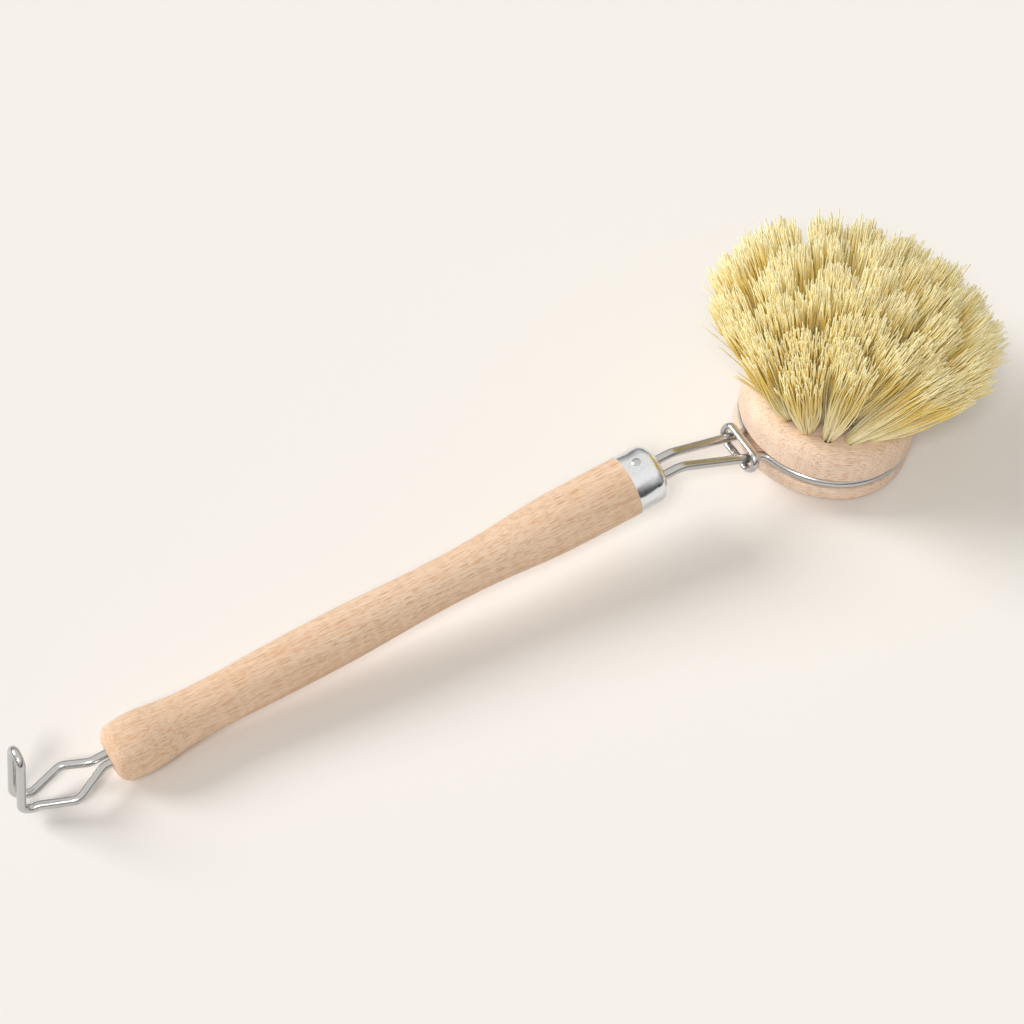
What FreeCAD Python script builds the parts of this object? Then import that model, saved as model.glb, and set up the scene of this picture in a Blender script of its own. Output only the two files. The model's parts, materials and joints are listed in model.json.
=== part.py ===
import FreeCAD, Part
import math
import os
import Sketcher

# Dish brush: a turned beech handle with a wire hanging hook at its tail and a ferrule at its front.
# Two wire arms leave the ferrule and clasp a round brush head in the groove of its block.
# An oval locking ring on the arms holds them closed. The head carries rings of fibre tufts.
#
# Brush axes: x runs along the handle from its tail end to the head, y to the left, z up.
# The finished brush lies bristles up, on the tail of its handle and the toe of its head.

os.makedirs("parts", exist_ok=True)
doc = FreeCAD.newDocument("DishBrush")

# Driving dimensions: alias, value in millimetres or degrees, meaning
SIZES = [
    ("grip_length", 139.9, "handle from its tail end to the ferrule's rear edge"),
    ("tail_rounding", 3.6, "rounding of the tail end's edge"),
    ("tail_radius", 7.35, "handle radius where that rounding ends"),
    ("belly_radius", 7.6, "largest radius of the tail swelling"),
    ("tail_waist_radius", 6.16, "smallest radius behind the palm swelling"),
    ("palm_radius", 6.61, "radius of the palm swelling"),
    ("front_waist_radius", 5.89, "smallest radius in front of the palm swelling"),
    ("shoulder_radius", 7.55, "radius where the front swelling levels out"),
    ("seat_radius", 7.57, "handle radius just behind the ferrule"),
    ("belly_share", 0.05, "place of the tail swelling along the grip"),
    ("tail_waist_share", 0.18, "place of the tail waist along the grip"),
    ("palm_share", 0.4017, "place of the palm swelling along the grip"),
    ("front_waist_share", 0.641, "place of the front waist along the grip"),
    ("shoulder_share", 0.895, "place of the shoulder along the grip"),
    ("tail_turn_share", 0.5, "where the curve turns between the tail edge and the belly"),
    ("belly_turn_share", 0.27, "where the curve turns between the belly and the tail waist"),
    ("palm_rise_share", 0.35, "where the curve turns between the tail waist and the palm"),
    ("palm_fall_share", 0.5, "where the curve turns between the palm and the front waist"),
    ("shoulder_turn_share", 0.55, "where the curve turns between the front waist and the shoulder"),
    ("fit_clearance", 0.03, "gap at a driven or pressed fit"),
    ("ferrule_length", 8.8, "ferrule from its rear edge to its mouth"),
    ("ferrule_radius", 7.68, "ferrule's outer radius"),
    ("ferrule_wall", 0.45, "sheet thickness of the ferrule"),
    ("ferrule_rounding", 3.2, "outer rounding of the ferrule's front edge"),
    ("ferrule_mouth_radius", 3.95, "radius of the opening in the ferrule's front"),
    ("tack_setback", 3.3, "tack's distance from the ferrule's rear edge"),
    ("tack_head_radius", 1.1, "radius of the tack's head"),
    ("tack_head_height", 0.3, "height of the tack's domed head"),
    ("tack_shank_radius", 0.6, "radius of the tack's shank"),
    ("tack_length", 6.2, "tack from under its head to its point"),
    ("tack_point_length", 1.4, "length of the tack's point"),
    ("hook_wire_radius", 1.1, "radius of the hanging hook's wire"),
    ("hook_leg_depth", 25.0, "how far the hook's legs go into the handle"),
    ("hook_leg_offset", 1.4, "hook leg's distance from the handle's axis"),
    ("hook_left_run", 4.3, "straight run of the hook's left leg outside the handle"),
    ("hook_right_run", 2.2, "straight run of the hook's right leg outside the handle"),
    ("hook_length", 23.4, "tail end to the hook's upward bend"),
    ("hook_corner_share", 0.452, "place of the loop's widest point along the hook"),
    ("hook_right_width", 5.75, "right corner of the loop from the handle's axis"),
    ("hook_left_width", 4.75, "left corner of the loop from the handle's axis"),
    ("hook_waist_share", 0.82, "place along the hook where the loop's sides turn towards the upright"),
    ("hook_right_waist", 1.75, "right leg's distance from the axis at that place"),
    ("hook_left_waist", 2.2, "left leg's distance from the axis at that place"),
    ("hook_right_foot", 1.2, "right leg's distance from the axis at the upward bend"),
    ("hook_left_foot", 3.8, "left leg's distance from the axis at the upward bend"),
    ("hook_foot_drop", 1.5, "upward bend below the handle's axis"),
    ("hook_rise", 20.2, "height of the upright, to the middle of its wire"),
    ("hook_angle", 13.3, "lean of the upright towards the handle, degrees"),
    ("hook_exit_bend", 4.0, "bend radius where the loop leaves the handle"),
    ("hook_corner_bend", 3.0, "bend radius at the loop's widest points"),
    ("hook_waist_bend", 3.0, "bend radius where the loop's sides turn towards the upright"),
    ("hook_foot_bend", 2.4, "bend radius at the upward bend"),
    ("arm_wire_radius", 1.2, "radius of the arms' wire"),
    ("arm_leg_depth", 30.0, "how far the arms' legs go into the handle"),
    ("arm_leg_offset", 2.4, "arm leg's distance from the handle's axis, up to its downward bend"),
    ("arm_bend_reach", 14.2, "ferrule's rear edge to the arms' downward bend"),
    ("arm_bend", 8.0, "radius of the downward bend"),
    ("arm_neck_offset", 4.0, "arm's distance from the middle where it meets the hoop"),
    ("arm_neck_run", 0.8, "straight run of the arm before its turn into the hoop"),
    ("arm_neck_bend", 6.0, "radius of the bend into the hoop's plane"),
    ("arm_turn", 3.0, "radius of the turn from the arm into the hoop"),
    ("hoop_reach", 57.4, "ferrule's rear edge to the hoop's centre, along the handle"),
    ("hoop_drop", 16.45, "hoop's centre below the handle's axis"),
    ("hoop_radius", 21.1, "radius of the hoop, to the middle of its wire"),
    ("hoop_end_gap", 0.8, "gap between the two halves of the hoop at the toe"),
    ("head_angle", 15.44, "lean of the head's axis towards the front, degrees"),
    ("groove_side_clearance", 0.3, "gap between the hoop's wire and the groove's sides"),
    ("groove_floor_clearance", 0.25, "gap between the hoop's wire and the groove's floor"),
    ("lip_radius", 22.3, "radius of the lip under the groove"),
    ("lip_height", 3.75, "thickness of the lip"),
    ("lip_rounding", 0.8, "rounding of the lip's edges"),
    ("block_radius", 22.5, "radius of the block above the groove"),
    ("block_height", 9.6, "block above the groove, at its middle"),
    ("block_crown", 0.7, "how much the top rises from its rim to its middle"),
    ("block_rounding", 4.0, "rounding of the block's top edge"),
    ("outer_ring_radius", 16.3, "radius of the outer ring of tufts at the block's top"),
    ("middle_ring_radius", 10.9, "radius of the middle ring of tufts"),
    ("inner_ring_radius", 5.4, "radius of the inner ring of tufts"),
    ("outer_angle", 37.0, "outward lean of the outer tufts, degrees"),
    ("middle_angle", 24.0, "outward lean of the middle tufts, degrees"),
    ("inner_angle", 12.0, "outward lean of the inner tufts, degrees"),
    ("tuft_hole_radius", 1.6, "radius of a tuft's hole"),
    ("tuft_hole_depth", 6.6, "depth of a tuft's hole along its axis"),
    ("tuft_clearance", 0.08, "gap between a tuft and its hole"),
    ("tuft_length", 31.0, "free length of a tuft along its axis"),
    ("tuft_tip_radius", 5.3, "radius of a tuft at its tips"),
    ("tuft_dome", 1.4, "rise of a tuft's rounded tips"),
    ("staple_length", 3.7, "length of the staple that holds a tuft"),
    ("staple_width", 0.9, "width of the staple's flat wire"),
    ("staple_thickness", 0.6, "thickness of the staple's flat wire"),
    ("ring_inner_width", 12.0, "inner width of the locking ring, across both arms"),
    ("ring_inner_height", 3.3, "inner height of the locking ring"),
    ("ring_thickness", 1.6, "thickness of the ring's wire"),
    ("ring_width", 2.2, "width of the ring's wire along the arms"),
    ("ring_end_gap", 0.3, "gap between the ring's ends"),
    ("ring_setback", 2.25, "ring's middle behind the bend into the hoop"),
    ("cut_overrun", 1.0, "how far a cut runs past the face that it opens"),
]
VOLUME_SHARE = 0.02
OUTER_TUFTS = 18
MIDDLE_TUFTS = 12
INNER_TUFTS = 6

sheet = doc.addObject("Spreadsheet::Sheet", "Sizes")
for row, (alias, value, meaning) in enumerate(SIZES, start=1):
    sheet.set(f"A{row}", meaning)
    sheet.set(f"B{row}", str(value))
    sheet.setAlias(f"B{row}", alias)
doc.recompute()

X_AXIS = FreeCAD.Vector(1, 0, 0)
Y_AXIS = FreeCAD.Vector(0, 1, 0)
Z_AXIS = FreeCAD.Vector(0, 0, 1)
ALONG_X = FreeCAD.Rotation(Z_AXIS, X_AXIS)

pieces = {}


def size(alias):
    """Value of one driving dimension."""
    return float(sheet.get(alias))


def cell(alias):
    """Name of a driving dimension inside an expression."""
    return f"Sizes.{alias}"


def vector(x, y, z):
    """Point or direction in brush axes."""
    return FreeCAD.Vector(x, y, z)


def new_body(label):
    """Empty body under a sub-part's name."""
    body = doc.addObject("PartDesign::Body", label)
    body.Label = label
    return body


def origin_feature(body, role):
    """One of the body's own origin planes or axes."""
    return next(item for item in body.Origin.OriginFeatures if item.Role == role)


def new_sketch(body, role, name):
    """Sketch on one of the body's own origin planes."""
    sketch = body.newObject("Sketcher::SketchObject", name)
    sketch.AttachmentSupport = [(origin_feature(body, role), "")]
    sketch.MapMode = "FlatFace"
    return sketch


def arc_through(first, last, radius, side):
    """Arc under a half circle from first to last; side 1 bulges left of the way from first to last."""
    chord = last - first
    middle = (first + last) * 0.5
    left = vector(-chord.y, chord.x, 0).normalize()
    sagitta = radius - math.sqrt(max(radius ** 2 - chord.Length ** 2 / 4, 0))
    return Part.Arc(first, middle + left * (side * sagitta), last)


def bind(sketch, constraint, expression):
    """Adds one dimension whose value follows an expression."""
    index = sketch.addConstraint(constraint)
    sketch.setExpression(f"Constraints[{index}]", expression)


def hold_corner(sketch, edge, end, across, up):
    """Holds one corner of an outline at its two expressions; zero lies on an axis."""
    root, axis_across, axis_up = -1, -1, -2
    if across == "0":
        sketch.addConstraint(Sketcher.Constraint("PointOnObject", edge, end, axis_up))
    else:
        distance = float(sketch.evalExpression(across))
        bind(sketch, Sketcher.Constraint("DistanceX", root, 1, edge, end, distance), across)
    if up == "0":
        sketch.addConstraint(Sketcher.Constraint("PointOnObject", edge, end, axis_across))
    else:
        distance = float(sketch.evalExpression(up))
        bind(sketch, Sketcher.Constraint("DistanceY", root, 1, edge, end, distance), up)


def draw_outline(sketch, corners, arcs):
    """Closed outline through corners given as pairs of expressions.

    arcs maps a corner's number to the radius and side of the arc that leaves it; other edges are straight.
    """
    places = [vector(float(sketch.evalExpression(a)), float(sketch.evalExpression(b)), 0) for a, b in corners]
    ends = []
    for number, place in enumerate(places):
        following = places[(number + 1) % len(places)]
        if number in arcs:
            radius, side = arcs[number]
            curve = arc_through(place, following, float(sketch.evalExpression(radius)), side)
        else:
            curve = Part.LineSegment(place, following)
        edge = sketch.addGeometry(curve)
        starts_here = (sketch.getPoint(edge, 1) - place).Length <= (sketch.getPoint(edge, 2) - place).Length
        ends.append((edge, 1, 2) if starts_here else (edge, 2, 1))
    for number, (edge, first, last) in enumerate(ends):
        next_edge, next_first, next_last = ends[(number + 1) % len(ends)]
        sketch.addConstraint(Sketcher.Constraint("Coincident", edge, last, next_edge, next_first))
        hold_corner(sketch, edge, first, *corners[number])
        if number in arcs:
            radius = arcs[number][0]
            distance = float(sketch.evalExpression(radius))
            bind(sketch, Sketcher.Constraint("Radius", edge, distance), radius)


def turned(body, sketch, axis):
    """Turns a sketch a whole revolution about one of its own axes."""
    feature = body.newObject("PartDesign::Revolution", "Turned")
    feature.Profile = sketch
    feature.ReferenceAxis = (sketch, [axis])
    feature.Angle = 360
    return feature


def drilled(body, name, radius, depth, place):
    """Round hole along the placement's z axis; radius and depth are expressions."""
    hole = body.newObject("PartDesign::SubtractiveCylinder", name)
    hole.setExpression("Radius", radius)
    hole.setExpression("Height", depth)
    hole.Placement = place
    return hole


def keep(label, piece, place=None):
    """Lists a finished sub-part with its place in brush axes."""
    piece.Label = label
    pieces[label] = (piece, place or FreeCAD.Placement())


# The S-curve between two level stretches of a turned outline is two arcs that meet on their chord.
# With c the chord squared over twice the rise, and the meeting point a share along the chord, the
# arcs' radii are that share of c and the rest of c.

def s_curve_middle(first, last, share):
    """Corner where the two arcs of an S-curve meet."""
    return tuple(f"({a}) + (({b}) - ({a})) * {share}" for a, b in zip(first, last))


def s_curve_radius(first, last, share):
    """Radius of one arc of an S-curve, as its share of the whole."""
    run = f"(({last[0]}) - ({first[0]}))"
    rise = f"(({last[1]}) - ({first[1]}))"
    return f"({run}^2 + {rise}^2) / (2 * abs({rise})) * ({share})"


grip = size("grip_length")
tenon_length = size("ferrule_length") - size("ferrule_wall") - size("fit_clearance")
handle_front = grip + tenon_length
hoop_centre = vector(grip + size("hoop_reach"), 0, -size("hoop_drop"))
head_place = FreeCAD.Placement(hoop_centre, FreeCAD.Rotation(Y_AXIS, size("head_angle")))


def add_handle():
    """Turned handle with a tenon for the ferrule, two holes for the hook and two for the arms' legs."""
    body = new_body("handle")
    sketch = new_sketch(body, "XZ_Plane", "HandleOutline")
    length = cell("grip_length")
    crests = [(cell("tail_rounding"), cell("tail_radius"))]
    for name in ("belly", "tail_waist", "palm", "front_waist", "shoulder"):
        crests.append((f"{length} * {cell(name + '_share')}", cell(name + "_radius")))
    turns = ["tail_turn_share", "belly_turn_share", "palm_rise_share", "palm_fall_share", "shoulder_turn_share"]
    tenon = f"{cell('ferrule_radius')} - {cell('ferrule_wall')} - {cell('fit_clearance')}"
    front = f"{length} + {cell('ferrule_length')} - {cell('ferrule_wall')} - {cell('fit_clearance')}"
    inner_rounding = f"({cell('ferrule_rounding')} - {cell('ferrule_wall')})"
    corners = [("0", "0"), ("0", f"{cell('tail_radius')} - {cell('tail_rounding')}")]
    arcs = {1: (cell("tail_rounding"), 1)}
    for first, last, share in zip(crests[:-1], crests[1:], turns):
        rising = float(sketch.evalExpression(f"({last[1]}) - ({first[1]})")) > 0
        side = -1 if rising else 1
        corners.append(first)
        arcs[len(corners) - 1] = (s_curve_radius(first, last, cell(share)), side)
        corners.append(s_curve_middle(first, last, cell(share)))
        arcs[len(corners) - 1] = (s_curve_radius(first, last, f"1 - {cell(share)}"), -side)
    corners.append(crests[-1])
    corners.append((length, cell("seat_radius")))
    corners.append((length, tenon))
    corners.append((f"{front} - {inner_rounding}", tenon))
    arcs[len(corners) - 1] = (inner_rounding, 1)
    corners.append((front, f"{tenon} - {inner_rounding}"))
    corners.append((front, "0"))
    draw_outline(sketch, corners, arcs)
    turned(body, sketch, "H_Axis")
    for side, name in ((1, "Left"), (-1, "Right")):
        start = vector(-size("cut_overrun"), side * size("hook_leg_offset"), 0)
        drilled(body, f"{name}HookHole", f"{cell('hook_wire_radius')} + {cell('fit_clearance')}",
                f"{cell('hook_leg_depth')} + {cell('fit_clearance')} + {cell('cut_overrun')}",
                FreeCAD.Placement(start, ALONG_X))
        start = vector(handle_front - size("arm_leg_depth") - size("fit_clearance"),
                       side * size("arm_leg_offset"), 0)
        drilled(body, f"{name}ArmHole", f"{cell('arm_wire_radius')} + {cell('fit_clearance')}",
                f"{cell('arm_leg_depth')} + {cell('fit_clearance')} + {cell('cut_overrun')}",
                FreeCAD.Placement(start, ALONG_X))
    tack_end = size("ferrule_radius") - size("tack_length") - size("fit_clearance")
    drilled(body, "TackHole", f"{cell('tack_shank_radius')} + {cell('fit_clearance')}",
            f"{cell('tack_length')} + {cell('cut_overrun')}",
            FreeCAD.Placement(vector(grip + size("tack_setback"), 0, tack_end), FreeCAD.Rotation()))
    keep("handle", body)
    return sketch


def add_ferrule():
    """Drawn sheet cap on the handle's tenon, with a rounded front edge and a round mouth."""
    body = new_body("ferrule")
    sketch = new_sketch(body, "XZ_Plane", "FerruleSection")
    length, radius, wall = cell("ferrule_length"), cell("ferrule_radius"), cell("ferrule_wall")
    rounding, mouth = cell("ferrule_rounding"), cell("ferrule_mouth_radius")
    corners = [("0", radius), (f"{length} - {rounding}", radius), (length, f"{radius} - {rounding}"),
               (length, mouth), (f"{length} - {wall}", mouth), (f"{length} - {wall}", f"{radius} - {rounding}"),
               (f"{length} - {rounding}", f"{radius} - {wall}"), ("0", f"{radius} - {wall}")]
    draw_outline(sketch, corners, {1: (rounding, 1), 5: (f"{rounding} - {wall}", -1)})
    turned(body, sketch, "H_Axis")
    drilled(body, "TackHole", f"{cell('tack_shank_radius')} + {cell('fit_clearance')}",
            f"{radius} + {cell('cut_overrun')}",
            FreeCAD.Placement(vector(size("tack_setback"), 0, 0), FreeCAD.Rotation()))
    keep("ferrule", body, FreeCAD.Placement(vector(grip, 0, 0), FreeCAD.Rotation()))


def add_tack():
    """Round-headed tack through the top of the ferrule, between the arms' legs."""
    body = new_body("ferrule_tack")
    sketch = new_sketch(body, "XZ_Plane", "TackSection")
    head, height = cell("tack_head_radius"), cell("tack_head_height")
    shank, length, point = cell("tack_shank_radius"), cell("tack_length"), cell("tack_point_length")
    dome = f"({head}^2 + {height}^2) / (2 * {height})"
    corners = [("0", "0"), (shank, point), (shank, length), (head, length), ("0", f"{length} + {height}")]
    draw_outline(sketch, corners, {3: (dome, -1)})
    turned(body, sketch, "V_Axis")
    place = vector(grip + size("tack_setback"), 0, size("ferrule_radius") - size("tack_length"))
    keep("ferrule_tack", body, FreeCAD.Placement(place, FreeCAD.Rotation()))


def rounded_path(points, radii):
    """Edges along a route: straight runs joined by tangent arcs, with one radius for each inner point."""
    edges = []
    start = points[0]
    for before, corner, after, radius in zip(points[:-2], points[1:-1], points[2:], radii):
        come = (corner - before).normalize()
        leave = (after - corner).normalize()
        half_turn = come.getAngle(leave) / 2
        reach = radius * math.tan(half_turn)
        inward = (leave - come).normalize()
        arc_start = corner - come * reach
        arc_middle = corner + inward * (radius / math.cos(half_turn) - radius)
        arc_end = corner + leave * reach
        edges.append(Part.LineSegment(start, arc_start).toShape())
        edges.append(Part.Arc(arc_start, arc_middle, arc_end).toShape())
        start = arc_end
    edges.append(Part.LineSegment(start, points[-1]).toShape())
    return edges


def along(edges, section):
    """Solid of one closed section carried along a path of straight runs and arcs."""
    path = Part.Wire(edges)
    solid = path.makePipeShell([section], True, False)
    expected = Part.Face(section).Area * path.Length
    if abs(solid.Volume - expected) > VOLUME_SHARE * expected:
        raise RuntimeError(f"a wire's volume is {solid.Volume:.1f}, not {expected:.1f}")
    return solid


def wire_section(edges, radius):
    """Round section at the start of a path, square to it."""
    first = edges[0]
    direction = first.tangentAt(first.FirstParameter)
    return Part.Wire(Part.Circle(first.valueAt(first.FirstParameter), direction, radius).toShape())


def add_feature(label, shape):
    """Sub-part whose shape is worked out here, already in brush axes."""
    feature = doc.addObject("Part::Feature", label)
    feature.Shape = shape
    keep(label, feature)


def add_hook():
    """One wire folded double: two legs in the handle, a wide loop, and a narrow upright bent up behind it."""
    lean = math.radians(size("hook_angle"))
    foot = -size("hook_length")
    rise = vector(math.sin(lean), 0, math.cos(lean))
    half_fold = (size("hook_right_foot") + size("hook_left_foot")) / 2
    fold_start = size("hook_rise") - half_fold

    def side_points(side, name):
        def spot(share, offset):
            return vector(foot * share, side * offset, -size("hook_foot_drop") * share)

        leg = side * size("hook_leg_offset")
        bend = spot(1, size(f"hook_{name}_foot"))
        return [vector(size("hook_leg_depth"), leg, 0),
                vector(-size(f"hook_{name}_run"), leg, 0),
                spot(size("hook_corner_share"), size(f"hook_{name}_width")),
                spot(size("hook_waist_share"), size(f"hook_{name}_waist")),
                bend, bend + rise * fold_start]

    left = side_points(1, "left")
    right = side_points(-1, "right")
    radii = [size(f"hook_{name}_bend") for name in ("exit", "corner", "waist", "foot")]
    fold_top = (left[-1] + right[-1]) * 0.5 + rise * half_fold
    edges = rounded_path(left, radii)
    edges.append(Part.Arc(left[-1], fold_top, right[-1]).toShape())
    edges += rounded_path(right[::-1], radii[::-1])
    add_feature("hanging_hook", along(edges, wire_section(edges, size("hook_wire_radius"))))


def in_hoop_plane(across, side):
    """Point of the hoop's plane: across from its centre towards the toe, and to one side."""
    return head_place.multVec(vector(across, side, 0))


def neck_start():
    """Where an arm's straight run ends, in the hoop's plane, and its turn into the hoop begins."""
    outside = size("hoop_radius") + size("arm_turn")
    turn_centre = size("arm_neck_offset") + size("arm_turn")
    return -math.sqrt(outside ** 2 - turn_centre ** 2)


def arm_points(side):
    """Route of one arm from the handle's front face to its turn into the hoop."""
    across = neck_start()
    return [vector(handle_front, side * size("arm_leg_offset"), 0),
            vector(grip + size("arm_bend_reach"), side * size("arm_leg_offset"), 0),
            in_hoop_plane(across - size("arm_neck_run"), side * size("arm_neck_offset")),
            in_hoop_plane(across, side * size("arm_neck_offset"))]


def hoop_point(angle, side):
    """Point on the middle of the hoop's wire; angle 0 is the toe."""
    radius = size("hoop_radius")
    return in_hoop_plane(radius * math.cos(angle), side * radius * math.sin(angle))


def add_arm(name, side):
    """One arm with its half of the hoop, and the leg of the same wire inside the handle."""
    points = arm_points(side)
    turn_centre = vector(neck_start(), size("arm_neck_offset") + size("arm_turn"), 0)
    join_angle = math.atan2(turn_centre.y, turn_centre.x)
    end_angle = size("hoop_end_gap") / 2 / size("hoop_radius")
    half_turn = (join_angle - math.pi / 2) / 2
    turn_middle = turn_centre + vector(math.sin(half_turn), -math.cos(half_turn), 0) * size("arm_turn")
    edges = rounded_path(points, [size("arm_bend"), size("arm_neck_bend")])
    join = hoop_point(join_angle, side)
    edges.append(Part.Arc(points[-1], in_hoop_plane(turn_middle.x, side * turn_middle.y), join).toShape())
    middle = hoop_point((join_angle + end_angle) / 2, side)
    edges.append(Part.Arc(join, middle, hoop_point(end_angle, side)).toShape())
    add_feature(f"{name}_hoop_arm", along(edges, wire_section(edges, size("arm_wire_radius"))))
    leg_start = points[0] - X_AXIS * size("arm_leg_depth")
    leg = Part.makeCylinder(size("arm_wire_radius"), size("arm_leg_depth"), leg_start, X_AXIS)
    add_feature(f"{name}_wire_leg", leg)


def add_ring():
    """Oval ring of flat wire round both arms, its ends butted in the middle of its upper side."""
    low = arm_points(1)[2]
    high = arm_points(1)[1]
    back = vector(high.x - low.x, 0, high.z - low.z).normalize()
    up = back.cross(Y_AXIS).normalize()
    middle = vector(low.x, 0, low.z) + back * size("ring_setback")
    half_height = (size("ring_inner_height") + size("ring_thickness")) / 2
    half_run = (size("ring_inner_width") + size("ring_thickness")) / 2 - half_height
    half_gap = size("ring_end_gap") / 2

    def spot(side, rise):
        return middle + Y_AXIS * side + up * rise

    edges = [Part.LineSegment(spot(half_gap, half_height), spot(half_run, half_height)).toShape(),
             Part.Arc(spot(half_run, half_height), spot(half_run + half_height, 0),
                      spot(half_run, -half_height)).toShape(),
             Part.LineSegment(spot(half_run, -half_height), spot(-half_run, -half_height)).toShape(),
             Part.Arc(spot(-half_run, -half_height), spot(-half_run - half_height, 0),
                      spot(-half_run, half_height)).toShape(),
             Part.LineSegment(spot(-half_run, half_height), spot(-half_gap, half_height)).toShape()]
    start = spot(half_gap, half_height)
    section = Part.Ellipse(start + back * (size("ring_width") / 2), start + up * (size("ring_thickness") / 2), start)
    add_feature("locking_ring", along(edges, Part.Wire(section.toShape())))
    return middle, back


def block_top(radius):
    """Height of the block's crowned top above the hoop's plane, at a distance from its axis."""
    rim = size("block_radius") - size("block_rounding")
    crown_radius = (rim ** 2 + size("block_crown") ** 2) / (2 * size("block_crown"))
    half_groove = size("arm_wire_radius") + size("groove_side_clearance")
    middle = half_groove + size("block_height")
    return middle - crown_radius + math.sqrt(crown_radius ** 2 - radius ** 2)


def tuft_place(ring_radius, lean, angle):
    """Place of a tuft in the head: its origin on the block's top, its z axis leaning outwards."""
    turn = FreeCAD.Rotation(Z_AXIS, angle)
    outward = FreeCAD.Rotation(Y_AXIS, lean)
    base = turn.multVec(vector(ring_radius, 0, block_top(ring_radius)))
    return FreeCAD.Placement(base, turn.multiply(outward))


def rim_run(name):
    """Expression for how far a leaning hole's upper edge lies past the middle of its opening."""
    return f"{cell('tuft_hole_radius')} * tan({cell(name + '_angle')})" if name != "centre" else "0"


def tuft_rings():
    """Name, count, ring radius and lean of each ring of tufts, from the outside in."""
    return [("outer", OUTER_TUFTS, size("outer_ring_radius"), size("outer_angle")),
            ("middle", MIDDLE_TUFTS, size("middle_ring_radius"), size("middle_angle")),
            ("inner", INNER_TUFTS, size("inner_ring_radius"), size("inner_angle")),
            ("centre", 1, 0, 0)]


def ring_start(count):
    """Angle of a ring's first tuft, half a step from the toe so that both sides match."""
    return 180 / count if count > 1 else 0


def staple_box(place, clearance):
    """Placement of a flat staple at the bottom of a tuft's hole, with its corner offset."""
    corner = vector(-size("staple_length") / 2 - clearance, -size("staple_width") / 2 - clearance,
                    -size("tuft_hole_depth"))
    return place.multiply(FreeCAD.Placement(corner, FreeCAD.Rotation()))


def repeat_round(body, feature, count):
    """Repeats a cut evenly round the body's z axis."""
    doc.recompute()
    if count > 1:
        pattern = body.newObject("PartDesign::PolarPattern", f"{feature.Name}Ring")
        pattern.Originals = [feature]
        pattern.Axis = (origin_feature(body, "Z_Axis"), [""])
        pattern.Angle = 360
        pattern.Occurrences = count
        body.Tip = pattern
        doc.recompute()


def add_block():
    """Turned head block with a lip, the hoop's groove, a crowned top and leaning tuft holes."""
    body = new_body("head_block")
    sketch = new_sketch(body, "XZ_Plane", "BlockSection")
    half_groove = f"({cell('arm_wire_radius')} + {cell('groove_side_clearance')})"
    floor = f"{cell('hoop_radius')} - {cell('arm_wire_radius')} - {cell('groove_floor_clearance')}"
    lip, thick, soft = cell("lip_radius"), cell("lip_height"), cell("lip_rounding")
    radius, tall, edge = cell("block_radius"), cell("block_height"), cell("block_rounding")
    crown = cell("block_crown")
    groove_top = f"{thick} + 2 * {half_groove}"
    rim = f"({radius} - {edge})"
    crown_radius = f"({rim}^2 + {crown}^2) / (2 * {crown})"
    top = f"{groove_top} + {tall}"
    corners = [("0", "0"), (f"{lip} - {soft}", "0"), (lip, soft), (lip, f"{thick} - {soft}"),
               (f"{lip} - {soft}", thick), (floor, thick), (floor, groove_top), (f"{radius} - {soft}", groove_top),
               (radius, f"{groove_top} + {soft}"), (radius, f"{top} - {crown} - {edge}"),
               (rim, f"{top} - {crown}"), ("0", top)]
    arcs = {1: (soft, -1), 3: (soft, -1), 7: (soft, -1), 9: (edge, -1), 10: (crown_radius, -1)}
    draw_outline(sketch, corners, arcs)
    turned(body, sketch, "V_Axis")
    doc.recompute()
    hoop_height = size("lip_height") + size("arm_wire_radius") + size("groove_side_clearance")
    up = FreeCAD.Placement(vector(0, 0, hoop_height), FreeCAD.Rotation())
    clearance = size("fit_clearance")
    for name, count, ring_radius, lean in tuft_rings():
        place = up.multiply(tuft_place(ring_radius, lean, ring_start(count)))
        bottom = place.multiply(FreeCAD.Placement(vector(0, 0, -size("tuft_hole_depth")), FreeCAD.Rotation()))
        hole = drilled(body, f"{name.title()}Hole", cell("tuft_hole_radius"),
                       f"{cell('tuft_hole_depth')} + {rim_run(name)} + {cell('cut_overrun')}", bottom)
        repeat_round(body, hole, count)
        slot = body.newObject("PartDesign::SubtractiveBox", f"{name.title()}Slot")
        slot.setExpression("Length", f"{cell('staple_length')} + 2 * {cell('fit_clearance')}")
        slot.setExpression("Width", f"{cell('staple_width')} + 2 * {cell('fit_clearance')}")
        slot.setExpression("Height", f"{cell('staple_thickness')} + {cell('fit_clearance')}")
        slot.Placement = staple_box(place, clearance)
        repeat_round(body, slot, count)
    lower = FreeCAD.Placement(vector(0, 0, -hoop_height), FreeCAD.Rotation())
    keep("head_block", body, head_place.multiply(lower))


def add_tuft(label, place, straight):
    """One tuft: a straight root in its hole that fans out, past the hole's edge, to rounded tips."""
    body = new_body(label)
    sketch = new_sketch(body, "XZ_Plane", "TuftSection")
    root = f"({cell('tuft_hole_radius')} - {cell('tuft_clearance')})"
    depth = f"({cell('tuft_hole_depth')} - {cell('staple_thickness')} - {cell('tuft_clearance')})"
    tip, dome = cell("tuft_tip_radius"), cell("tuft_dome")
    top = f"{depth} + {cell('tuft_length')}"
    corners = [("0", "0"), (root, "0"), (root, f"{depth} + {straight}"),
               (tip, f"{top} - {dome}"), ("0", top)]
    draw_outline(sketch, corners, {3: (f"({tip}^2 + {dome}^2) / (2 * {dome})", -1)})
    turned(body, sketch, "V_Axis")
    root_depth = size("tuft_hole_depth") - size("staple_thickness") - size("tuft_clearance")
    sunk = FreeCAD.Placement(vector(0, 0, -root_depth), FreeCAD.Rotation())
    keep(label, body, head_place.multiply(place).multiply(sunk))


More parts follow.
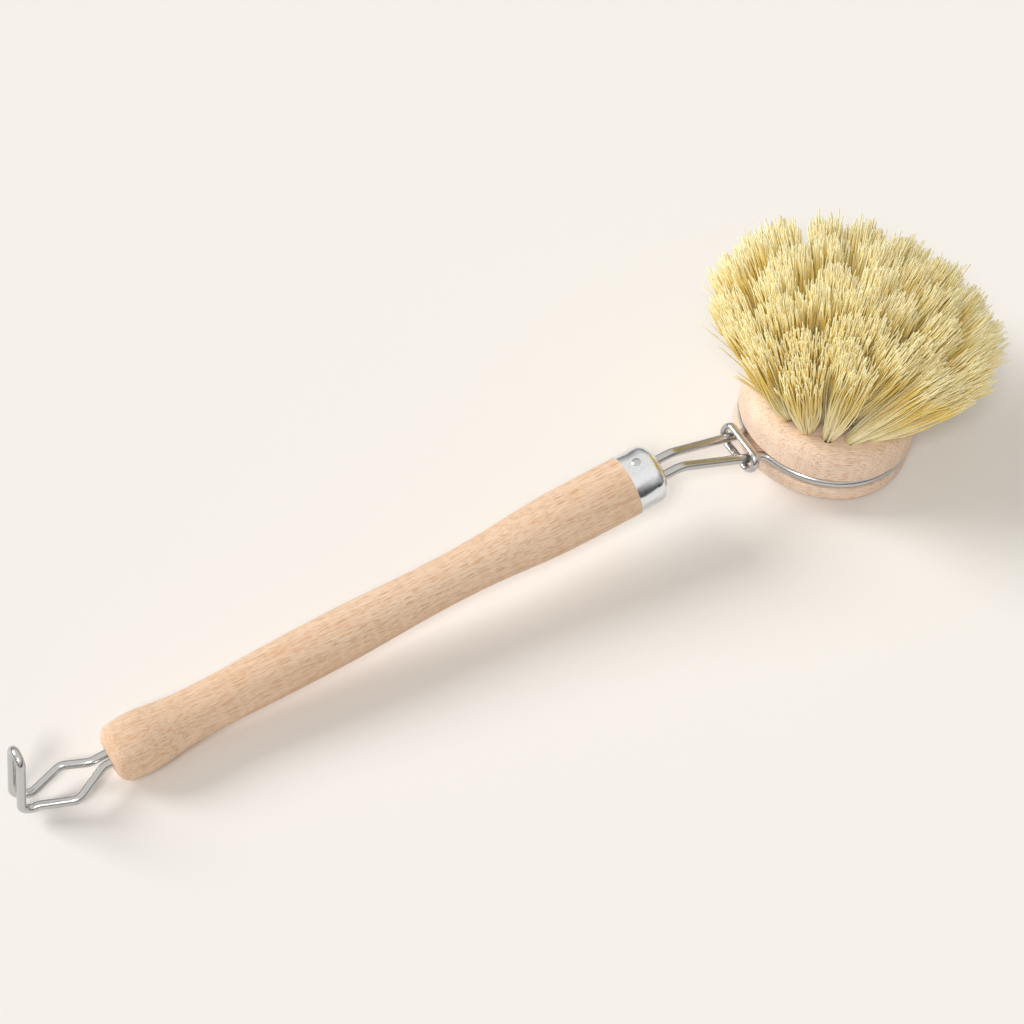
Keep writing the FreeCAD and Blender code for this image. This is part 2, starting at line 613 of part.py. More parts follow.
def add_tufts():
    """Rings of tufts round a centre tuft, and the flat staples at the bottom of their holes."""
    staples = []
    for name, count, ring_radius, lean in tuft_rings():
        for number in range(count):
            angle = ring_start(count) + 360 / count * number
            place = tuft_place(ring_radius, lean, angle)
            label = f"{name}_tuft_{number + 1:02d}" if count > 1 else f"{name}_tuft"
            add_tuft(label, place, rim_run(name))
            staple = Part.makeBox(size("staple_length"), size("staple_width"), size("staple_thickness"))
            staple.Placement = head_place.multiply(staple_box(place, 0))
            staples.append(staple)
    add_feature("tuft_staples", Part.makeCompound(staples))


def toe_depth(slope):
    """Lowest point of the head's lip below the origin of the brush axes, with the handle at a slope."""
    tilt = math.radians(size("head_angle")) - slope
    soft = size("lip_rounding")
    below_hoop = size("lip_height") + size("arm_wire_radius") + size("groove_side_clearance") - soft
    hoop_height = hoop_centre.x * math.sin(slope) + hoop_centre.z * math.cos(slope)
    return hoop_height - below_hoop * math.cos(tilt) - (size("lip_radius") - soft) * math.sin(tilt) - soft


def lying_slope(outline):
    """Slope of the handle, in radians, at which its tail and the head's toe touch one level surface."""
    spots = [spot for edge in outline.Shape.Edges for spot in edge.discretize(60)]
    low, high = 0.0, math.radians(size("head_angle"))
    for _ in range(50):
        slope = (low + high) / 2
        tail_depth = min(s.x * math.sin(slope) - s.z * math.cos(slope) for s in spots)
        if toe_depth(slope) < tail_depth:
            low = slope
        else:
            high = slope
    return slope


def lay_down(outline):
    """Placement from brush axes to the lying brush, with the origin under the middle of its box."""
    slope = lying_slope(outline)
    turn = FreeCAD.Rotation(Y_AXIS, -math.degrees(slope))
    tilted = FreeCAD.Placement(vector(0, 0, 0), turn)
    ends = []
    for piece, place in pieces.values():
        shape = piece.Shape.copy()
        shape.Placement = tilted.multiply(place)
        box = shape.optimalBoundingBox(False)
        ends += [box.XMin, box.XMax]
    shift = vector(-(min(ends) + max(ends)) / 2, 0, -toe_depth(slope))
    return FreeCAD.Placement(shift, turn)


def write_parts():
    """Checks every object and writes each sub-part to its own file."""
    for item in doc.Objects:
        if {"Invalid", "Error"} & set(item.State):
            raise RuntimeError(f"{item.Label} failed: {item.State}")
    for label, (piece, place) in pieces.items():
        if piece.Shape.isNull() or not piece.Shape.isValid():
            raise RuntimeError(f"{label} has no valid shape")
    for label, (piece, place) in pieces.items():
        piece.Shape.exportStep(f"parts/{label}.step")


def describe(name, place, direction):
    """Prints a point and a direction of the lying brush, for its joints and mounts."""
    point = [round(value, 4) for value in place]
    axis = [round(value, 6) for value in direction]
    print(name, "at", point, "along", axis)


handle_outline = add_handle()
add_ferrule()
add_tack()
add_hook()
add_arm("left", 1)
add_arm("right", -1)
ring_middle, ring_back = add_ring()
add_block()
add_tufts()
doc.recompute()
lying = lay_down(handle_outline)
for piece, place in pieces.values():
    piece.Placement = lying.multiply(place)
doc.recompute()
write_parts()

head_axis = lying.multiply(head_place).Rotation.multVec(Z_AXIS)
pivot_offset = size("arm_leg_offset") + size("arm_wire_radius")
describe("head axis", lying.multVec(hoop_centre), head_axis)
describe("left arm pivot", lying.multVec(vector(handle_front, pivot_offset, 0)), head_axis)
describe("right arm pivot", lying.multVec(vector(handle_front, -pivot_offset, 0)), head_axis)
describe("ring slide", lying.multVec(ring_middle), lying.Rotation.multVec(ring_back))
back_depth = size("lip_height") + size("arm_wire_radius") + size("groove_side_clearance")
describe("head back", lying.multVec(head_place.multVec(vector(0, 0, -back_depth))), head_axis * -1)
describe("handle tail", lying.multVec(vector(0, 0, 0)), lying.Rotation.multVec(X_AXIS))
describe("ferrule rear", lying.multVec(vector(grip, 0, 0)), lying.Rotation.multVec(X_AXIS))
print("sub-parts", len(pieces))
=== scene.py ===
"""Dish brush: fibre tufts, beech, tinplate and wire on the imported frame, bristles up on a pale table."""

import json
import math

import bpy
import numpy as np
from bpy.props import FloatProperty, FloatVectorProperty, IntProperty, PointerProperty
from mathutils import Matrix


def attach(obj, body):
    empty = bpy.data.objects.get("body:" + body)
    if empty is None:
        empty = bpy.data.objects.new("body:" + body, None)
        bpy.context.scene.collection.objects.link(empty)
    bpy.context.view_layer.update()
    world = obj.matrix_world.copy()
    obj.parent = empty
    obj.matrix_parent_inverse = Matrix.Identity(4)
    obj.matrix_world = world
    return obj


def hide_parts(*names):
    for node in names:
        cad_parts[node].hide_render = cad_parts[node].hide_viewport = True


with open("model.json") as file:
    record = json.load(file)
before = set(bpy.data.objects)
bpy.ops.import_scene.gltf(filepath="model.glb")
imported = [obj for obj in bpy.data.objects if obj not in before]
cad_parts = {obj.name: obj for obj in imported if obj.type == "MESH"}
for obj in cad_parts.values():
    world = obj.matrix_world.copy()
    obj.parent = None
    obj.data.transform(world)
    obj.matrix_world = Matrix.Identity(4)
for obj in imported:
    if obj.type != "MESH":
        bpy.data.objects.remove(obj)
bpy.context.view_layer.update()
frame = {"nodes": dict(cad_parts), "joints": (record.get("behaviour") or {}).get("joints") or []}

bl_info = {
    "name": "Dish Brush",
    "version": (1, 0, 0),
    "blender": (4, 5, 0),
    "location": "View3D > Sidebar > Brush",
    "description": "Dresses a packed dish brush with fibre tufts, beech, tinplate, wire and a studio table",
    "category": "Object",
}

JOINTS = {joint["name"]: joint for joint in frame["joints"]}
HEAD_CENTRE = np.array(JOINTS["head_spin"]["pos_m"])
HEAD_AXIS = np.array(JOINTS["head_spin"]["axis"])
WIRE_NODES = ("hanging_hook", "left_hoop_arm", "right_hoop_arm", "left_wire_leg", "right_wire_leg",
              "locking_ring", "tuft_staples")

# Lean of the tufts: random angles, the centre tuft's share of the sweep, and how the parting fades inwards.
TURN_SCATTER = math.radians(1.2)
LEAN_SCATTER = math.radians(1.3)
SWEEP_AT_CENTRE = 0.35
PARTING_POWER = 3

# Fibres of a tuft: powers, shares of the fan, length or thickness, and side steps in metres.
CROWDING_POWER = 0.62
CLUMP_PLACES = (0.05, 1.0)
GATHER_SHARES = (0.0, 0.25)
FAN_SCATTER = 0.05
CLUMP_LENGTH_SCATTER = 0.014
FIBRE_LENGTH_SCATTER = 0.033
TUFT_LENGTH_SCATTER = 0.015
LENGTH_SHARES = (0.72, 1.1)
DOME_SHARE = 0.07
FAN_POWER = 0.85
BOW = 0.0006
WAVE = 0.0002
THICKNESS_SHARES = (0.72, 1.25)
TAPER_SHARE = 0.42
TAPER_POWER = 4
FIBRE_SIDES = 4

# Fibres that stand off the outer ring: heading in radians, powers, and shares of the tuft's own sizes.
STRAY_HEADING_SCATTER = 0.9
STRAY_LENGTH_SHARES = (0.72, 1.08)
STRAY_FAN_SHARES = (1.0, 1.3)
STRAY_POWER = 1.5
STRAY_RADIUS_SHARE = 0.42
STRAY_TAPER_SHARE = 0.35
STRAY_TONES = (0.5, 1.0)

# Each map is a value's low and high end, and what they turn into.
# The first two maps place painted light along each fibre: a pale lift at the roots and a painted highlight at
# the cut ends.
ROOT_LIGHT_MAP = (0.2, 0.75, 0.0, 1.0)
TIP_HIGHLIGHT_MAP = (0.8, 1.0, 0.0, 1.0)
PALE_TONE_MAP = (0.45, 1.0, 0.0, 0.6)
DARK_TONE_MAP = (0.0, 0.3, 0.4, 0.0)
GROWTH_MAP = (0.32, 0.72, 0.0, 1.0)
GRAIN_MAP = (0.42, 0.72, 0.0, 0.36)
GRAIN_ROUGHNESS_MAP = (0.3, 0.7, -0.05, 0.08)
SCUFF_ROUGHNESS_MAP = (0.4, 0.75, -0.03, 0.04)
WEAR_MAP = (0.5, 0.8, 0.0, 0.6)

# Beech: scales per metre along and across the grain, side steps in metres, and depths of the flecks' colour.
GROWTH_SCALE = (12.0, 130.0, 130.0)
GRAIN_SCALE = (90.0, 3200.0, 3200.0)
WANDER_SCALE = 700.0
WANDER_STEP = (0.0012, 0.0002, 0.0002)
SMALL_FLECKS = {"scale": (440.0, 5200.0, 5200.0), "low": 0.2, "high": 0.65, "edge": 0.52}
LARGE_FLECKS = {"scale": (250.0, 3700.0, 3700.0), "low": 0.45, "high": 0.85, "edge": 0.48}
SMALL_FLECK_DEPTH = 0.42
LARGE_FLECK_DEPTH = 0.65
FLECK_CORE_SHARE = 0.65
GRAIN_RELIEF = 0.0001
GRAIN_BUMP = 0.2

# Metal: scale of the dents per metre, their depth in metres, and how dull worn metal is.
TINPLATE_DENTS = {"scale": 220.0, "dent": 0.0004}
WIRE_DENTS = {"scale": 420.0, "dent": 0.00006}
SCUFF_SCALE = 7.0
DULL_SHARE = 0.8

# Room: heights on a sphere of radius one, shares of the light there, and cosines at the edges of two patches.
SKY_TOP = 0.8
SKY_SHARES = (0.55, 1.1)
ROOM_TOP = 0.6
ROOM_SHARES = (0.1, 1.0)
PANEL_EDGE = (0.9, 0.95)
DUSK_EDGE = (0.88, 0.97)
TABLE_REACH = 3.0
SENSOR_WIDTH = 36.0


def colour(name, description, default):
    """A colour property, in linear light."""
    return FloatVectorProperty(name=name, description=description, default=default, subtype="COLOR", size=3,
                               min=0.0, max=1.0)


def length(name, description, default):
    """A length property, in metres."""
    return FloatProperty(name=name, description=description, default=default, unit="LENGTH", precision=5)


def angle(name, description, default):
    """An angle property, given here in degrees."""
    return FloatProperty(name=name, description=description, default=math.radians(default), subtype="ANGLE")


def level(name, description, default):
    """A property for a plain number, such as a lamp's level or a roughness."""
    return FloatProperty(name=name, description=description, default=default, min=0.0)


def count(name, description, default, least, most):
    """A property for a number of like things."""
    return IntProperty(name=name, description=description, default=default, min=least, max=most)


def facing(name, description, default):
    """A direction property."""
    return FloatVectorProperty(name=name, description=description, default=default, subtype="DIRECTION",
                               size=3)


class BrushBristles(bpy.types.PropertyGroup):
    """Sizes and colours of the fibre tufts."""

    outer_radius: length("Outer ring", "Radius of the outer ring of tufts", 0.0163)
    middle_radius: length("Middle ring", "Radius of the middle ring of tufts", 0.0109)
    inner_radius: length("Inner ring", "Radius of the inner ring of tufts", 0.0054)
    outer_lean: angle("Outer lean", "Outward lean of the outer tufts", 31.5)
    middle_lean: angle("Middle lean", "Outward lean of the middle tufts", 21.0)
    inner_lean: angle("Inner lean", "Outward lean of the inner tufts", 10.0)
    sweep: angle("Sweep", "Lean that all tufts share, as if combed", 9.0)
    sweep_heading: angle("Sweep heading", "Heading of that lean, from the toe towards the left", 70.0)
    toe_lean: angle("Toe lean", "Extra lean of the tufts at the toe", 7.0)
    parting: angle("Parting", "Place of the parting, from the toe towards the left", 240.0)
    parting_lean: angle("Parting lean", "Extra lean past the parting", 45.0)
    parting_reach: angle("Parting reach", "How far round the extra lean fades", 35.0)
    parting_heading: angle("Parting heading", "Heading of the extra lean past the parting", 4.0)
    lift_lean: angle("Lift", "Lean taken back just before the parting", 27.0)
    lift_reach: angle("Lift reach", "How far round that lift fades", 15.0)
    lift_heading: angle("Lift heading", "Heading of the lift", 35.0)
    block_top: length("Block top", "Middle of the block's top above the hoop", 0.0111)
    crown_radius: length("Crown radius", "Radius of the block's crowned top", 0.2448)
    root_radius: length("Root radius", "Radius of a tuft where it leaves its hole", 0.00142)
    root_depth: length("Root depth", "How far a tuft goes into its hole", 0.002)
    tip_radius: length("Tip radius", "Radius that a tuft fans out to", 0.0058)
    free_length: length("Free length", "Length of a tuft above the block", 0.031)
    thickness: length("Fibre thickness", "Mean thickness of one fibre", 0.00048)
    fibres: count("Fibres", "Fibres in one tuft", 170, 10, 400)
    stations: count("Stations", "Points along one fibre", 7, 3, 12)
    clumps: count("Clumps", "Clumps of fibres in one tuft", 14, 1, 40)
    strays: count("Strays", "Fibres that stand off the outer ring", 34, 0, 400)
    seed: IntProperty(name="Seed", description="Seed of the fibres' scatter", default=7)
    # Painted light: the pale root colour lifts the shade that falls among the roots.
    painted_root_light: colour("Root colour", "Fibre colour near the block", (1.0, 0.91, 0.60))
    body_colour: colour("Body colour", "Fibre colour along its length", (0.98, 0.755, 0.21))
    dark_colour: colour("Dark colour", "Colour that the darkest fibres lean to", (0.84, 0.60, 0.15))
    # Painted highlight: the pale tip colour lights the cut ends; fibres of pale random tone also lean to it.
    tip_highlight_and_pale_tone: colour("Tip colour", "Fibre colour at its cut end", (1.0, 0.92, 0.58))


class BrushBeech(bpy.types.PropertyGroup):
    """Colours and grain of the beech handle and block."""

    pale: colour("Pale wood", "Lightest colour of the wood", (0.90, 0.695, 0.515))
    warm: colour("Warm wood", "Colour of the darker growth", (0.79, 0.555, 0.38))
    block_pale: colour("Pale block", "Lightest colour of the block", (0.95, 0.785, 0.64))
    block_warm: colour("Warm block", "Colour of the block's darker growth", (0.88, 0.68, 0.53))
    fleck: colour("Fleck", "Colour of the short flecks along the grain", (0.58, 0.28, 0.115))
    roughness: level("Roughness", "Mean roughness of the sanded wood", 0.6)
    handle_slope: angle("Handle slope", "Slope of the lying handle", 5.332)
    handle_twist: angle("Handle twist", "Turn of the handle's grain from its axis", 2.0)
    block_twist: angle("Block twist", "Turn of the block's grain from the toe", 27.0)


class BrushMetal(bpy.types.PropertyGroup):
    """Colours and finish of the tinplate and the wire."""

    tinplate: colour("Tinplate", "Colour of the ferrule", (0.83, 0.86, 0.90))
    tack: colour("Tack", "Colour of the tack in the ferrule", (0.62, 0.63, 0.64))
    wire: colour("Wire", "Colour of the plated wire", (0.58, 0.58, 0.58))
    tinplate_roughness: level("Tinplate roughness", "Roughness of the ferrule and its tack", 0.19)
    wire_roughness: level("Wire roughness", "Roughness of the wire", 0.2)


class BrushStage(bpy.types.PropertyGroup):
    """The table, the light and the camera."""

    table: colour("Table", "Colour of the table", (0.90, 0.868, 0.829))
    tint: colour("Tint", "Colour of the light from all round", (1.0, 0.965, 0.92))
    sky: level("Soft light", "Level of the light from all round", 0.355)
    gloss: level("Reflections", "Level of the room in reflections", 0.9)
    key: level("Key light", "Level of the light from the left", 2.12)
    key_size: angle("Key size", "Apparent size of the light from the left", 28.0)
    key_height: angle("Key height", "Height of the light from the left", 34.0)
    key_heading: angle("Key heading", "Heading that the light comes from, from +X towards +Y", 135.0)
    fill: level("Fill light", "Level of the light from the front", 1.15)
    fill_size: angle("Fill size", "Apparent size of the light from the front", 14.0)
    fill_height: angle("Fill height", "Height of the light from the front", 53.0)
    fill_heading: angle("Fill heading", "Heading that the front light comes from, from +X towards +Y", -133.0)
    panel: level("Panel", "Level of the white panel in reflections", 0.06)
    panel_facing: facing("Panel facing", "Direction of the panel", (0.29, -0.51, 0.81))
    dusk: level("Dusk", "Depth of the dark corner in reflections", 0.2)
    dusk_facing: facing("Dusk facing", "Direction of the dark corner", (0.28, -0.95, 0.12))
    lens: FloatProperty(name="Lens", description="Focal length in millimetres", default=99.76, unit="CAMERA")
    camera_place: FloatVectorProperty(name="Camera", description="Place of the camera", subtype="TRANSLATION",
                                      default=(-0.198015, -0.3423, 0.571919), unit="LENGTH", size=3)
    camera_tilt: angle("Camera tilt", "Turn of the camera about X, up from straight down", 36.1285)
    camera_roll: angle("Camera roll", "Turn of the camera about Y", -0.1333)
    camera_heading: angle("Camera heading", "Turn of the camera about Z", -29.7396)


def unit(vectors):
    """Vectors of length one, along the last axis."""
    return vectors / np.linalg.norm(vectors, axis=-1, keepdims=True)


def head_axes():
    """Head's axes as rows: towards the toe, to the left, and along the head's axis."""
    up = unit(HEAD_AXIS)
    left = np.array([0.0, 1.0, 0.0])
    return np.stack([np.cross(left, up), left, up])


def tube_mesh(name, centres, radii, sides, values):
    """Mesh of many closed tubes.

    centres holds points by tube, station and coordinate, and radii by tube and station. Each station carries
    a ring of points at equal angles about the tube's direction, at its radius; rings are joined by quads and
    both ends are closed by one face. values maps an attribute's name to numbers by tube and station.
    """
    tubes, stations = radii.shape
    along = unit(np.gradient(centres, axis=1))
    helper = np.where(np.abs(along[:, :1, 2:]) > 0.9, [[[1.0, 0.0, 0.0]]], [[[0.0, 0.0, 1.0]]])
    across = unit(np.cross(along, np.broadcast_to(helper, along.shape)))
    other = np.cross(along, across)
    turn = np.arange(sides) * (2 * np.pi / sides)
    ring = np.cos(turn)[:, None] * across[:, :, None, :] + np.sin(turn)[:, None] * other[:, :, None, :]
    points = centres[:, :, None, :] + radii[:, :, None, None] * ring

    index = np.arange(tubes * stations * sides).reshape(tubes, stations, sides)
    after = np.roll(index, -1, axis=2)
    walls = np.stack([index[:, :-1], after[:, :-1], after[:, 1:], index[:, 1:]], axis=-1).reshape(-1, 4)
    ends = np.concatenate([index[:, 0, ::-1], index[:, -1]])
    loops = np.concatenate([walls.ravel(), ends.ravel()])
    sizes = np.concatenate([np.full(len(walls), 4), np.full(len(ends), sides)])
    starts = np.concatenate([[0], np.cumsum(sizes)[:-1]])

    mesh = bpy.data.meshes.new(name)
    mesh.vertices.add(points.size // 3)
    mesh.vertices.foreach_set("co", points.astype(np.float32).ravel())
    mesh.loops.add(len(loops))
    mesh.loops.foreach_set("vertex_index", loops.astype(np.int32))
    mesh.polygons.add(len(sizes))
    mesh.polygons.foreach_set("loop_start", starts.astype(np.int32))
    smooth = np.concatenate([np.ones(len(walls), bool), np.zeros(len(ends), bool)])
    mesh.polygons.foreach_set("use_smooth", smooth)
    mesh.update(calc_edges=True)
    mesh.validate()
    for label, numbers in values.items():
        layer = mesh.attributes.new(label, "FLOAT", "POINT")
        spread = np.broadcast_to(numbers[:, :, None], (tubes, stations, sides))
        layer.data.foreach_set("value", np.ascontiguousarray(spread, np.float32).ravel())
    return mesh


def add_piece(name, mesh, material, body, nodes):
    """Object for a finished mesh: it rides on a body and stands for CAD nodes."""
    mesh.materials.append(material)
    piece = bpy.data.objects.new(name, mesh)
    bpy.context.scene.collection.objects.link(piece)
    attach(piece, body)
    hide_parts(*nodes)
    return piece


def block_height(settings, radius):
    """Height of the crowned top above the hoop: the middle's height less the sagitta of the crown's arc."""
    drop = settings.crown_radius - np.sqrt(settings.crown_radius ** 2 - radius ** 2)
    return settings.block_top - drop


def tuft_leans(settings, radius, lean, turns):
    """Lean of each tuft of a ring as an angle towards the toe and one to the left, by tuft.

    It sums the ring's lean outwards, an extra lean of the tufts at the toe, and leans that grow with the
    ring's share of the outer ring: a sweep that all share, a lean past the parting and a lift before it. The
    last two fade with the exponential of the angle from the parting.
    """
    def towards(heading):
        return np.stack([np.cos(heading), np.sin(heading)], axis=-1)

    share = radius / settings.outer_radius
    past = np.mod(turns - settings.parting, 2 * np.pi)
    before = np.mod(settings.parting - turns, 2 * np.pi)
    spread = lean * towards(turns)
    spread[:, 0] += share * settings.toe_lean * np.clip(np.cos(turns), 0.0, None)
    swept = SWEEP_AT_CENTRE + (1.0 - SWEEP_AT_CENTRE) * share
    combed = settings.sweep * towards(settings.sweep_heading) * swept
    parted = settings.parting_lean * np.exp(-past / settings.parting_reach)[:, None] * share ** PARTING_POWER
    lifted = settings.lift_lean * np.exp(-before / settings.lift_reach)[:, None] * share ** PARTING_POWER
    return (spread + combed + parted * towards(settings.parting_heading)
            + lifted * towards(settings.lift_heading))


def tuft_frames(settings, radius, leans, turns):
    """Base points and axes of one ring of tufts.

    A base lies on the crowned top at the ring's radius. The tuft's own axes are outwards, sideways and along;
    the last one leans from the head's axis by the length of its lean, towards its lean's heading.
    """
    axes = head_axes()
    out = np.cos(turns)[:, None] * axes[0] + np.sin(turns)[:, None] * axes[1]
    base = HEAD_CENTRE + out * radius + axes[2] * block_height(settings, radius)
    bend = np.linalg.norm(leans, axis=-1, keepdims=True)
    heading = (leans / bend) @ axes[:2]
    along = np.cos(bend) * axes[2] + np.sin(bend) * heading
    outward = np.cos(bend) * heading - np.sin(bend) * axes[2]
    return base, np.stack([outward, np.cross(along, outward), along], axis=1)


def tuft_fibres(settings, scatter, base, axes):
    """Centre lines, radii and tints of the fibres of one ring of tufts.

    Ends lie on two similar discs, the root's and the fanned tips', at the same angle and share of the radius.
    Tips draw together by clumps. On the way the side step grows as a power of the share of the length, plus a
    slight bow of half a sine and a wave of a whole one; the length is the tuft's own, with scatter by tuft,
    clump and fibre, less a dome that falls with the square of the distance from the tuft's axis.
    """
    tufts, stations = len(base), settings.stations
    shape = (tufts, settings.fibres)
    clumps = (tufts, settings.clumps)

    def on_disc(shares, turns):
        return np.stack([shares * np.cos(turns), shares * np.sin(turns)], axis=-1)

    def sideways_scatter(step):
        return scatter.normal(0.0, step, shape + (2,))[:, :, None, :]

    share = scatter.uniform(0.0, 1.0, shape) ** CROWDING_POWER
    disc = on_disc(share, scatter.uniform(0.0, 2 * np.pi, shape))
    clump_turn = scatter.uniform(0.0, 2 * np.pi, clumps)
    clump_place = on_disc(np.sqrt(scatter.uniform(*CLUMP_PLACES, clumps)), clump_turn)
    apart = np.linalg.norm(disc[:, :, None, :] - clump_place[:, None, :, :], axis=-1)
    nearest = apart.argmin(axis=2)
    gathered = np.take_along_axis(clump_place, nearest[:, :, None], axis=1)
    tips = disc + (gathered - disc) * scatter.uniform(*GATHER_SHARES, shape)[..., None]
    tips = tips * settings.tip_radius * scatter.normal(1.0, FAN_SCATTER, (tufts, 1, 1))
    roots = disc * settings.root_radius

    clump_length = scatter.normal(0.0, CLUMP_LENGTH_SCATTER, clumps)
    reach = 1.0 + np.take_along_axis(clump_length, nearest, axis=1)
    reach = reach + scatter.normal(0.0, FIBRE_LENGTH_SCATTER, shape) - DOME_SHARE * share ** 2
    reach = reach + scatter.normal(0.0, TUFT_LENGTH_SCATTER, (tufts, 1))
    reach = settings.free_length * np.clip(reach, *LENGTH_SHARES)
    step = np.linspace(0.0, 1.0, stations)
    along = -settings.root_depth + (reach + settings.root_depth)[..., None] * step
    free = np.clip(along / reach[..., None], 0.0, None)
    bow = sideways_scatter(BOW) * np.sin(np.pi * free)[..., None]
    wave = sideways_scatter(WAVE) * np.sin(2 * np.pi * free)[..., None]
    fan = (tips - roots)[:, :, None, :] * (free ** FAN_POWER)[..., None]
    sideways = roots[:, :, None, :] + fan + bow + wave
    local = np.concatenate([sideways, along[..., None]], axis=-1)
    centres = base[:, None, None, :] + np.einsum("tfsk,tkc->tfsc", local, axes)

    thick = settings.thickness * scatter.uniform(*THICKNESS_SHARES, shape)
    radii = thick[..., None] / 2 * (1.0 - TAPER_SHARE * step ** TAPER_POWER)
    tone = np.broadcast_to(scatter.uniform(0.0, 1.0, shape)[..., None], free.shape)
    values = {"along": free.reshape(-1, stations), "tone": tone.reshape(-1, stations)}
    return centres.reshape(-1, stations, 3), radii.reshape(-1, stations), values


def stray_fibres(settings, scatter, base, axes):
    """Centre lines, radii and tints of fibres that leave a tuft's edge and bend away from its axis.

    The side step is a share of the fan, as a power of the share of the length, towards a heading that
    scatters about the tuft's outward direction.
    """
    number, stations = settings.strays, settings.stations
    owner = scatter.integers(0, len(base), number)
    turn = scatter.normal(0.0, STRAY_HEADING_SCATTER, number)
    away = np.stack([np.cos(turn), np.sin(turn)], axis=-1)
    reach = settings.free_length * scatter.uniform(*STRAY_LENGTH_SHARES, number)
    spread = settings.tip_radius * scatter.uniform(*STRAY_FAN_SHARES, number)
    step = np.linspace(0.0, 1.0, stations)
    sideways = away[:, None, :] * (settings.root_radius + spread[:, None] * step ** STRAY_POWER)[..., None]
    local = np.concatenate([sideways, (reach[:, None] * step)[..., None]], axis=-1)
    centres = base[owner][:, None, :] + np.einsum("fsk,fkc->fsc", local, axes[owner])
    taper = 1.0 - STRAY_TAPER_SHARE * step
    radii = np.broadcast_to(settings.thickness * STRAY_RADIUS_SHARE * taper, (number, stations))
    tone = np.broadcast_to(scatter.uniform(*STRAY_TONES, number)[:, None], (number, stations))
    return centres, radii, {"along": np.broadcast_to(step, (number, stations)), "tone": tone}


def new_material(name):
    """Material with an emptied node tree, its Principled shader and its output."""
    material = bpy.data.materials.new(name)
    material.use_nodes = True
    tree = material.node_tree
    tree.nodes.clear()
    shader = tree.nodes.new("ShaderNodeBsdfPrincipled")
    output = tree.nodes.new("ShaderNodeOutputMaterial")
    tree.links.new(shader.outputs["BSDF"], output.inputs["Surface"])
    return material, tree, shader


def add_math(tree, operation, first, second=None):
    """Math node on sockets or numbers; gives its output."""
    node = tree.nodes.new("ShaderNodeMath")
    node.operation = operation
    for socket, value in zip(node.inputs, (first, second)):
        if isinstance(value, bpy.types.NodeSocket):
            tree.links.new(value, socket)
        elif value is not None:
            socket.default_value = value
    return node.outputs["Value"]


def add_mix(tree, factor, first, second, blend="MIX"):
    """Colour mix of sockets or plain colours; gives its output."""
    node = tree.nodes.new("ShaderNodeMix")
    node.data_type = "RGBA"
    node.blend_type = blend
    for socket, value in ((node.inputs[0], factor), (node.inputs[6], first), (node.inputs[7], second)):
        if isinstance(value, bpy.types.NodeSocket):
            tree.links.new(value, socket)
        elif isinstance(value, float):
            socket.default_value = value
        else:
            socket.default_value = (*value, 1.0)
    return node.outputs[2]


def add_scaled(tree, vector, scale):
    """Vector socket times three numbers."""
    node = tree.nodes.new("ShaderNodeVectorMath")
    node.operation = "MULTIPLY"
    tree.links.new(vector, node.inputs[0])
    node.inputs[1].default_value = scale
    return node.outputs["Vector"]


def add_noise(tree, vector, scale, detail=2.0, roughness=0.5):
    """Noise on a vector socket; gives its value."""
    node = tree.nodes.new("ShaderNodeTexNoise")
    node.inputs["Scale"].default_value = scale
    node.inputs["Detail"].default_value = detail
    node.inputs["Roughness"].default_value = roughness
    tree.links.new(vector, node.inputs["Vector"])
    return node.outputs["Fac"]


def add_range(tree, value, low, high, to_low=0.0, to_high=1.0):
    """Map range of a value socket, clamped."""
    node = tree.nodes.new("ShaderNodeMapRange")
    tree.links.new(value, node.inputs["Value"])
    node.inputs["From Min"].default_value = low
    node.inputs["From Max"].default_value = high
    node.inputs["To Min"].default_value = to_low
    node.inputs["To Max"].default_value = to_high
    return node.outputs["Result"]


def new_group(name, inputs, outputs):
    """Shader node group with named sockets; gives the tree and its two end nodes."""
    tree = bpy.data.node_groups.new(name, "ShaderNodeTree")
    for label, kind in inputs:
        tree.interface.new_socket(label, in_out="INPUT", socket_type=kind)
    for label, kind in outputs:
        tree.interface.new_socket(label, in_out="OUTPUT", socket_type=kind)
    return tree, tree.nodes.new("NodeGroupInput"), tree.nodes.new("NodeGroupOutput")


def add_flecks(tree, vector, scale, low, high, edge):
    """Scattered flecks: cells of a drawn-out Voronoi pattern, full within an edge of their middle.

    low and high bound the cells' random number: cells under low have no fleck, those over high a full one.
    """
    cells = tree.nodes.new("ShaderNodeTexVoronoi")
    cells.inputs["Scale"].default_value = 1.0
    tree.links.new(add_scaled(tree, vector, scale), cells.inputs["Vector"])
    pick = tree.nodes.new("ShaderNodeSeparateColor")
    tree.links.new(cells.outputs["Color"], pick.inputs["Color"])
    chosen = add_range(tree, pick.outputs["Red"], low, high)
    spot = add_range(tree, cells.outputs["Distance"], edge * FLECK_CORE_SHARE, edge, 1.0, 0.0)
    return add_math(tree, "MULTIPLY", spot, chosen)


